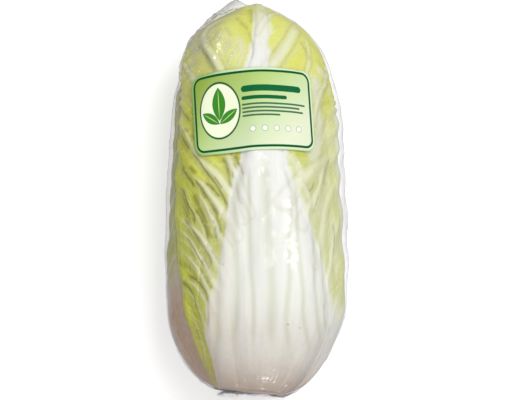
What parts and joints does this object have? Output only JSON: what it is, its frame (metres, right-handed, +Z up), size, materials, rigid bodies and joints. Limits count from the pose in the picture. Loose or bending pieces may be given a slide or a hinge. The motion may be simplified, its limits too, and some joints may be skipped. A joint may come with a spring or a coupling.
{
  "type": "napa cabbage",
  "caption": "Barrel-shaped head of napa cabbage with a wide white ribbed front leaf, wrapped in clear film with a plain green label, lying on its side.",
  "frame": {"origin": "bottom centre of the whole part's box, on the surface that it lies on", "axes": "+Y from the cut stem to the crown, +Z up and the way the front leaf faces, +X to the right seen from above with the crown away"},
  "size_m": [0.1351, 0.3042, 0.1235],
  "materials": {
    "leaf": "waxy leaf blade with a white fleshy midrib",
    "heart": "pale packed leaves and a cut stem",
    "film": "clear glossy film",
    "label": null
  },
  "bodies": {
    "root": {"heart": "heart", "leaf_1": "leaf", "leaf_2": "leaf", "leaf_3": "leaf", "leaf_4": "leaf", "leaf_5": "leaf", "front_leaf": "leaf", "film": "film", "label": "label"}
  },
  "joints": []
}
